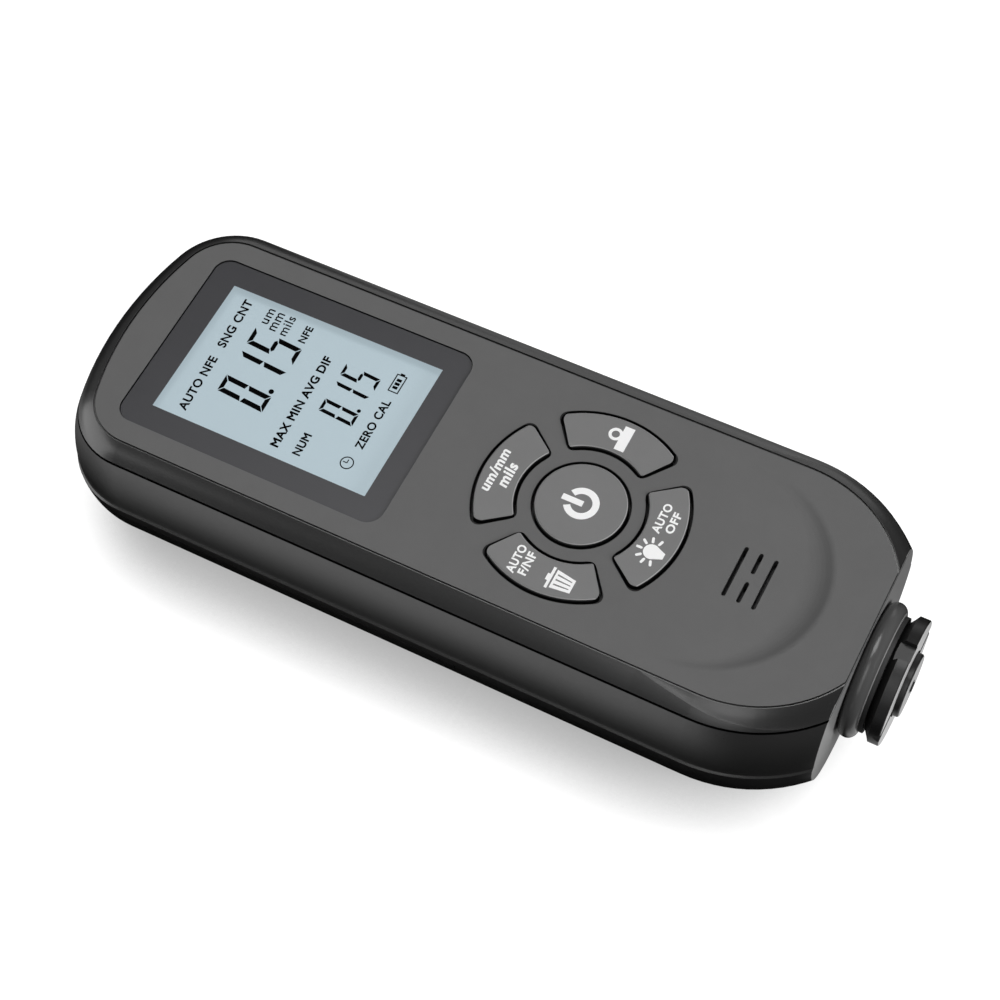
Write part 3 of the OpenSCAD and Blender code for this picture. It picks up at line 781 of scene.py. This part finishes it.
@dataclass
class Display:
    """Window, panel and the figures and words on the panel."""

    lift: float = 0.01
    thick: float = 0.02
    eye: Place = (75.9, -119.94, 259.68)
    skew: Point = (-0.041, 0.00115)
    words: tuple[tuple[str, Box, float], ...] = (
        ("AUTO NFE", (3.02, 4.37, -9.93, -0.71), 0.031), ("SNG CNT", (3.02, 4.37, 1.13, 9.5), 0.031),
        ("um", (6.94, 7.91, 7.02, 9.57), 0.01), ("mm", (8.4, 9.43, 6.46, 9.52), 0.01),
        ("mils", (9.77, 11.13, 6.38, 9.66), 0.01), ("NFE", (12.98, 14.09, 6.46, 9.24), 0.03),
        ("MAX MIN AVG DIF", (17.52, 18.82, -9.57, 5.99), 0.036), ("NUM", (20.93, 22.17, -9.46, -5.9), 0.034),
        ("ZERO CAL", (28.1, 29.36, -5.0, 3.27), 0.03))
    digits: tuple[Digit, ...] = (
        Digit("0", 6.7, 14.12, -5.68, 2.73, 0.74), Digit("1", 6.68, 14.14, -1.44, 2.73, 0.74),
        Digit("5", 6.66, 14.24, 2.66, 2.86, 0.74), Digit("0", 20.92, 26.3, -2.43, 2.08, 0.53),
        Digit("1", 20.9, 26.3, 0.6, 2.08, 0.53), Digit("5", 20.87, 26.35, 3.77, 2.03, 0.53))
    dots: tuple[Place, ...] = ((13.66, -2.23, 0.38), (26.0, 0.16, 0.28))

    def under(self, run: float, side: float) -> Point:
        """Where a point seen through the window lies on the panel, in the frame's X and Y."""
        run += side * (self.skew[0] + self.skew[1] * run)
        x, drop = GAUGE.x(run), GAUGE.panel_depth / (self.eye[2] - GAUGE.height)
        return (x + (x - self.eye[0]) * drop, side + (side - self.eye[1]) * drop)

    def icon_outlines(self) -> list[list[Point]]:
        """Outlines of the clock and battery signs."""
        hub = (28.44, -7.59)
        shapes = [ring(hub, 0.81, 0.97), bar(hub, (27.85, -7.59), 0.14), bar(hub, (28.44, -7.05), 0.14)]
        shapes += [rect(27.9, 29.44, 4.72, 4.88), rect(27.9, 28.06, 4.88, 7.51), rect(29.28, 29.44, 4.88, 7.51),
                   rect(27.9, 29.44, 7.51, 7.67), rect(28.35, 29.0, 7.67, 7.92)]
        shapes += [rect(28.28, 29.0, 5.3 + 0.62 * i, 5.74 + 0.62 * i) for i in range(3)]
        return shapes

    def build(self) -> None:
        """Models what the panel shows and joins it into one piece."""
        level = GAUGE.height - GAUGE.panel_depth + self.lift
        pieces = []
        for text, box, weight in self.words:
            pieces.append(Maker.word(text, box, self.under, level, self.thick, weight))
        outlines = [shape for digit in self.digits for shape in digit.outlines()]
        outlines += [arc((x, y), r, 0, 345, 23) for x, y, r in self.dots] + self.icon_outlines()
        for shape in outlines:
            pieces.append(Maker.outline([self.under(*p) for p in shape], level, self.thick))
        Maker.join(pieces, "display_figures", Body.CASE, Slot.DISPLAY, Ink.BLACK.value.make())

    def dress(self) -> None:
        """Gives the display's CAD nodes their finishes."""
        paint("display_window", WindowFinish().make())
        paint("lcd_panel", PanelFinish().make())
        paint("window_gasket", Finish("gasket_black", linear("141414"), 0.7).make())
        paint("zebra_strip", Finish("strip_rubber", linear("3a3a3a"), 0.6).make())
        paint("backlight", Finish("light_guide", linear("e4e6e6"), 0.35).make())


def paint(node: str, material: bpy.types.Material) -> None:
    """Puts a material in every slot of a CAD node."""
    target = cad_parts[node]
    if not target.material_slots:
        target.data.materials.append(material)
    for holder in target.material_slots:
        holder.material = material
    LOG.info("node %s wears %s", node, material.name)


@dataclass
class Keypad:
    """The power key and the four arc keys with their printed signs."""

    top: float = 25.05
    lift: float = 0.005
    thick: float = 0.02
    weight: float = 0.034
    ink: Optional[bpy.types.Material] = None

    def spot(self, run: float, side: float) -> Point:
        """Moves a point from display runs into the frame."""
        return (GAUGE.x(run), side)

    def shift(self, shapes: Iterable[Sequence[Point]]) -> list[list[Point]]:
        """Moves outlines from display runs into the frame."""
        return [[self.spot(*point) for point in shape] for shape in shapes]

    def sign(self, name: str, body: Body, shapes: Iterable[Sequence[Point]],
             words: Iterable[tuple[str, Box]] = (), slant: float = 0.0) -> None:
        """Models one key's printed sign.

        Args:
            name: the sign's name.
            body: the key that carries it.
            shapes: outlines in display runs.
            words: words with their boxes.
            slant: how far the letters lean, in parts of their height.
        """
        level = self.top + self.lift
        pieces = [Maker.outline(shape, level, self.thick) for shape in self.shift(shapes)]
        for text, box in words:
            pieces.append(Maker.word(text, box, self.spot, level, self.thick, self.weight, slant))
        Maker.join(pieces, name, body, Slot.KEY, self.ink)

    def power_shapes(self) -> list[list[Point]]:
        """The power sign: an open ring and a bar."""
        return [ring((59.14, 0.04), 1.43, 2.36, -150, 150), bar((56.4, 0.04), (59.36, 0.04), 0.86)]

    def zero_shapes(self) -> list[list[Point]]:
        """The zero sign: a ring standing on a plate."""
        hub, inner, outer, plate = (58.57, 11.43), 0.54, 0.97, 59.25
        meet = math.degrees(math.acos((plate - hub[0]) / outer))
        reach = outer * math.sin(math.radians(meet))
        foot = arc(hub, inner, -meet, meet, 12) + [(plate, hub[1] + reach), (plate, hub[1] - reach)]
        return [ring(hub, inner, outer, meet, 360 - meet), foot, rect(plate, 60.64, 9.29, 13.1)]

    def lamp_shapes(self) -> list[list[Point]]:
        """The lamp sign: a bulb with rays."""
        hub, bulb_radius, ray_start, ray_end, ray_width = Vector((70.25, -2.46)), 1.08, 1.42, 1.95, 0.36
        foot = [(71.75, -2.98), (71.98, -2.9), (71.98, -2.02), (71.75, -1.94)]
        bulb = arc(tuple(hub), bulb_radius, 55, 305, 30) + foot
        rays = []
        for angle in (70, 107, 142, 180, 218, 253, 290):
            way = Vector((math.cos(math.radians(angle)), math.sin(math.radians(angle))))
            rays.append(capsule(tuple(hub + way * ray_start), tuple(hub + way * ray_end), ray_width))
        return [bulb] + rays

    def bin_shapes(self) -> list[list[Point]]:
        """The clear sign: a bin with a lid and slots."""
        lid = [(60.54, -12.93), (60.54, -9.75), (60.16, -9.75), (60.16, -10.86), (59.82, -10.86), (59.82, -11.86),
               (60.16, -11.86), (60.16, -12.93)]
        shapes = [lid, [(60.78, -12.7), (60.78, -9.95), (61.1, -9.99), (61.1, -12.67)],
                  [(63.2, -12.42), (63.2, -10.36), (63.54, -10.4), (63.54, -12.38)]]
        for i in range(4):
            wide, narrow = -12.67 + 0.727 * i, -12.42 + 0.55 * i
            shapes.append([(61.1, wide), (63.2, narrow), (63.2, narrow + 0.41), (61.1, wide + 0.5)])
        return shapes

    def build(self) -> None:
        """Models the printed signs of all five keys."""
        self.ink = Ink.WHITE.value.make()
        self.sign("power_sign", Body.POWER, self.power_shapes())
        self.sign("zero_sign", Body.ZERO, self.zero_shapes())
        self.sign("unit_sign", Body.UNIT, (), (("um/mm", (45.96, 47.46, -3.64, 3.29)),
                                               ("mils", (47.75, 49.36, -2.14, 1.79))), 0.14)
        self.sign("lamp_sign", Body.LAMP, self.lamp_shapes(), (("AUTO", (68.82, 70.0, 0.25, 4.82)),
                                                                ("OFF", (70.43, 71.6, 0.89, 4.11))))
        self.sign("mode_sign", Body.MODE, self.bin_shapes(), (("AUTO", (54.64, 55.86, -12.93, -8.68)),
                                                              ("F/NF", (56.2, 57.45, -12.57, -9.1))))

    def dress(self) -> None:
        """Gives the keys and their switches their finishes."""
        finish = KeyFinish("key_plastic", linear("737373"), 0.5, specular=0.4).make()
        for node in ("power_key", "unit_key", "lamp_key", "zero_key", "mode_key"):
            paint(node, finish)
        paint("key_switches", Finish("switch_metal", linear("a8a8a4"), 0.35, metallic=1.0).make())


@dataclass
class Housing:
    """The two shells, the battery door and the screws."""

    def dress(self) -> None:
        """Gives the shells and fasteners their finishes."""
        paint("front_shell", FaceFinish("face_grey", linear("626262"), 0.6, specular=0.3).make())
        # The rear shell's end face is painted lighter (painted light) and its seam ledge black (painted shade).
        paint("rear_shell", ShellFinish("shell_black", linear("242424"), 0.3, specular=1.0).make())
        paint("battery_door", Finish("door_black", linear("242424"), 0.3, specular=1.0).make())
        paint("case_screws", Finish("screw_steel", linear("9a9a98"), 0.35, metallic=1.0).make())


@dataclass
class Probe:
    """Collar, seal, sleeve and the sprung measuring head."""

    collar_front: float = END_FACE + 2.6
    sleeve_front: float = 59.22
    head_front: float = 60.06
    spring_ends: Point = (34.25, 41.95)
    spring_radius: float = 2.9
    wire: float = 0.25
    turns: int = 6
    steps: int = 192
    ring: int = 10
    weld: float = 1e-6

    def wind(self, share: float, turn: float) -> Vector:
        """Finds a point on the spring's wire.

        Args:
            share: how far along the wire, from nought to one.
            turn: angle round the wire.
        Returns:
            The point in metres.
        """
        low, high = self.spring_ends
        angle = math.tau * self.turns * share
        out = self.spring_radius + self.wire * math.cos(turn)
        run = low + (high - low) * share + self.wire * math.sin(turn)
        return Vector((run, out * math.sin(angle), GAUGE.probe_height - out * math.cos(angle))) * MM

    def build(self) -> None:
        """Models the spring's coil and hides the CAD spring in its place."""
        Maker.clear()
        bpy.ops.mesh.primitive_grid_add(x_subdivisions=self.steps, y_subdivisions=self.ring, size=1)
        piece = bpy.context.object
        piece.name = piece.data.name = "spring_coil"
        for vertex in piece.data.vertices:
            vertex.co = self.wind(vertex.co.x + 0.5, math.tau * vertex.co.y)
        bpy.ops.object.mode_set(mode="EDIT")
        bpy.ops.mesh.select_all(action="SELECT")
        bpy.ops.mesh.remove_doubles(threshold=self.weld)
        bpy.ops.mesh.fill_holes(sides=0)
        bpy.ops.mesh.select_all(action="SELECT")
        bpy.ops.mesh.normals_make_consistent(inside=False)
        bpy.ops.object.mode_set(mode="OBJECT")
        bpy.ops.object.shade_smooth()
        piece.data.materials.append(Finish("spring_wire", linear("a8a8a8"), 0.3, metallic=1.0).make())
        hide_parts("probe_spring")
        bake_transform(piece)
        LOG.info("piece %s between %s and %s", piece.name, Body.CASE.value, Body.HEAD.value)

    def dress(self) -> None:
        """Gives the probe's pieces their finishes."""
        # Painted light: the collar's, sleeve's and head's faces past their planes are painted lighter, as if lit
        # from the probe's side.
        paint("probe_collar", LitFrontFinish("collar_satin", linear("4c4c4c"), 0.22, grain_depth=0.000004,
                                            front=linear("9a9a9a"), plane=self.collar_front).make())
        paint("seal_ring", Finish("seal_rubber", linear("2a2a2a"), 0.6).make())
        paint("probe_sleeve", LitFrontFinish("sleeve_black", linear("161616"), 0.35, grain_depth=0.000006,
                                            front=linear("cccccc"), plane=self.sleeve_front).make())
        paint("measuring_head", LitFrontFinish("head_lit_face", linear("1c1c1c"), 0.35, grain_depth=0.000006,
                                              front=linear("b4b4b4"), plane=self.head_front).make())
        paint("measuring_tip", TurnedFinish("tip_dark", linear("303030"), 0.3, metallic=0.6).make())
        paint("probe_coil", TurnedFinish("coil_winding", linear("a0552c"), 0.4, metallic=0.6, ring=0.12).make())


@dataclass
class Inside:
    """Board, buzzer and battery pieces inside the case."""

    def dress(self) -> None:
        """Gives the inner pieces their finishes."""
        paint("main_board", BoardFinish("board_lacquer", linear("1c5a34"), 0.4).make())
        paint("board_chips", Finish("chip_black", linear("1b1b1c"), 0.55).make())
        paint("buzzer", Finish("buzzer_black", linear("19191a"), 0.5).make())
        paint("battery_cells", CellFinish("cell_wrap", linear("8f7a3c"), 0.35).make())
        contact = Finish("contact_plating", linear("b8b8b4"), 0.3, metallic=1.0).make()
        paint("battery_springs", contact)
        paint("battery_plates", contact)


@dataclass(frozen=True)
class Lamp:
    """A soft oblong lamp that faces the gauge, its sizes in metres and its power in watts."""

    name: str
    place: Place
    wide: float
    high: float
    watts: float
    mirrored: bool = True
    lights: bool = True
    aim: Place = (0, 0, 0.01)

    def build(self) -> None:
        """Adds the lamp; glossy surfaces show it if mirrored, and it lights matt ones if lights is set."""
        data = bpy.data.lights.new(self.name, "AREA")
        data.shape, data.energy = "RECTANGLE", self.watts
        data.size, data.size_y = self.wide, self.high
        lamp = bpy.data.objects.new(self.name, data)
        lamp.location = self.place
        lamp.visible_glossy, lamp.visible_diffuse = self.mirrored, self.lights
        lamp.rotation_euler = (Vector(self.place) - Vector(self.aim)).to_track_quat("Z", "Y").to_euler()
        bpy.context.scene.collection.objects.link(lamp)


@dataclass
class Studio:
    """Floor, light and the camera at the photograph's angle."""

    spot: Place = (0.0759, -0.11994, 0.25968)
    right: Place = (0.87851, 0.47147, -0.07703)
    up: Place = (-0.3787, 0.7856, 0.4893)
    back: Place = (0.2912, -0.40069, 0.86871)
    lens: float = 75.36
    sensor: float = 36.0
    shift: Point = (0.0724, 0.0274)
    clip: Point = (0.01, 20.0)
    lamps: tuple[Lamp, ...] = (
        Lamp("key_lamp", (-0.1, 0.16, 0.8), 0.45, 0.45, 3.0),
        Lamp("rake_lamp", (1.2, -0.04, 0.58), 0.5, 0.5, 13.5, mirrored=False),
        Lamp("title_card", (-0.47, -0.2, 0.21), 0.52, 0.4, 1.2, lights=False),
        Lamp("side_card", (0.065, -0.25, 0.41), 0.2, 0.2, 0.25, lights=False),
        Lamp("low_card", (0.075, -0.38, 0.26), 0.2, 0.2, 0.13, lights=False),
        Lamp("far_card", (-0.2, 0.9, 0.12), 0.9, 0.3, 0.5, lights=False))
    world_level: float = 0.14
    reach: Point = (56.0, 20.0)
    fade: Point = (6.0, 45.0)
    sky: Place = (0.26, 0.76, 0.59)
    shadow_reach: float = 0.0165
    shadow_ease: Point = (0.2, 0.7)
    shadow_floor: float = 0.39
    floor_size: float = 6.0
    floor_level: float = -0.0002
    floor_glow: float = 1.35
    floor_share: float = 0.75
    floor_pale: Colour = (0.96, 0.96, 0.96)
    floor_bounce: Colour = (0.12, 0.12, 0.12)
    far_side: Point = (-12.0, 12.0)
    title_end: Point = (52.0, 72.0)
    near_open: Point = (45.0, 75.0)
    near_end: Point = (22.0, 56.0)
    far_end: Point = (30.0, 60.0)
    far_rise: Point = (50.0, 250.0)
    far_level: float = 0.2
    far_gain: float = 0.5
    end_drop: float = 0.9
    near_title_drop: float = 0.55
    far_title_drop: float = 0.95
    probe_run: Point = (55.0, 58.0)
    probe_side: Point = (10.0, 20.0)
    probe_glow: float = 0.55

    def camera(self) -> None:
        """Adds the camera."""
        data = bpy.data.cameras.new("camera")
        data.lens, data.sensor_width = self.lens, self.sensor
        data.shift_x, data.shift_y = self.shift
        data.clip_start, data.clip_end = self.clip
        camera = bpy.data.objects.new("camera", data)
        turn = Matrix((self.right, self.up, self.back)).transposed().to_4x4()
        camera.matrix_world = Matrix.Translation(self.spot) @ turn
        bpy.context.scene.collection.objects.link(camera)
        bpy.context.scene.camera = camera

    def shade(self, graph: Graph) -> Wire:
        """How much of the soft light from above and behind reaches the floor."""
        way = graph.add("ShaderNodeCombineXYZ", None, dict(enumerate(self.sky)))
        clear = graph.add("ShaderNodeAmbientOcclusion", {"samples": 16},
                          {"Distance": self.shadow_reach, "Normal": way.outputs[0]})
        open_sky = Wire(graph, clear.outputs["AO"]).ease(*self.shadow_ease)
        return self.shadow_floor + (1 - self.shadow_floor) * open_sky

    def mirror(self, graph: Graph) -> Wire:
        """How bright glossy surfaces see the floor: dark close by and past the two ends."""
        x, y, _ = graph.place()
        past_x, past_y = (x.magnitude() - self.reach[0]).larger(0), (y.magnitude() - self.reach[1]).larger(0)
        apart = (past_x * past_x + past_y * past_y).root().ease(*self.fade)
        far = y.ease(*self.far_side)
        title = (0 - x).ease(*self.title_end)
        title_dark = self.near_title_drop * title * (1 - (0 - y).ease(*self.near_open))
        near_level = (1 - self.end_drop * x.ease(*self.near_end)) * (1 - title_dark)
        far_level = self.far_level + self.far_gain * y.ease(*self.far_rise)
        far_level = far_level * (1 - self.end_drop * x.ease(*self.far_end)) * (1 - self.far_title_drop * title)
        under_probe = x.ease(*self.probe_run) * (1 - y.magnitude().ease(*self.probe_side)) * self.probe_glow
        return (apart * ((1 - far) * near_level + far * far_level)).larger(under_probe)

    def floor(self) -> None:
        """Adds the pale floor, which keeps the shadow."""
        Maker.clear()
        bpy.ops.mesh.primitive_plane_add(size=self.floor_size, location=(0, 0, self.floor_level))
        floor = bpy.context.object
        floor.name = "floor"
        graph = Graph("floor_pale")
        path = graph.add("ShaderNodeLightPath")
        seen = Wire(graph, path.outputs["Is Camera Ray"])
        graph.set(Base_Color=graph.mix(seen, self.floor_bounce, self.floor_pale), Roughness=1.0,
                  Specular_IOR_Level=0.0)
        mirrored = Wire(graph, path.outputs["Is Glossy Ray"])
        strength = seen * self.shade(graph) * self.floor_glow + mirrored * self.mirror(graph)
        glow = graph.add("ShaderNodeEmission", None, {"Color": (1, 1, 1, 1), "Strength": strength})
        blend = graph.add("ShaderNodeMixShader", None,
                          {0: seen * self.floor_share + mirrored, 1: graph.shader.outputs[0], 2: glow.outputs[0]})
        graph.feed(graph.output.inputs["Surface"], blend.outputs[0])
        floor.data.materials.append(graph.material)

    def world(self) -> None:
        """Sets an even pale surround, white to the camera."""
        world = bpy.data.worlds.new("surround")
        bpy.context.scene.world = world
        world.use_nodes = True
        tree = world.node_tree
        tree.nodes.clear()
        path = tree.nodes.new("ShaderNodeLightPath")
        seen = tree.nodes.new("ShaderNodeMath")
        seen.operation = "MAXIMUM"
        tree.links.new(path.outputs["Is Camera Ray"], seen.inputs[0])
        tree.links.new(path.outputs["Is Transmission Ray"], seen.inputs[1])
        level = tree.nodes.new("ShaderNodeMapRange")
        tree.links.new(seen.outputs[0], level.inputs["Value"])
        level.inputs["To Min"].default_value = self.world_level
        level.inputs["To Max"].default_value = 1.0
        glow = tree.nodes.new("ShaderNodeBackground")
        glow.inputs["Color"].default_value = (1, 1, 1, 1)
        tree.links.new(level.outputs[0], glow.inputs["Strength"])
        out = tree.nodes.new("ShaderNodeOutputWorld")
        tree.links.new(glow.outputs[0], out.inputs["Surface"])

    def build(self) -> None:
        """Sets the whole studio."""
        self.camera()
        self.floor()
        self.world()
        for lamp in self.lamps:
            lamp.build()
        bpy.context.scene.view_settings.view_transform = "Standard"


def main() -> None:
    """Builds the sub-assemblies in order."""
    logging.basicConfig(level=logging.INFO, format="%(name)s: %(message)s")
    Studio().build()
    Housing().dress()
    display = Display()
    display.build()
    display.dress()
    keypad = Keypad()
    keypad.build()
    keypad.dress()
    probe = Probe()
    probe.build()
    probe.dress()
    Inside().dress()


if __name__ == "__main__":
    main()
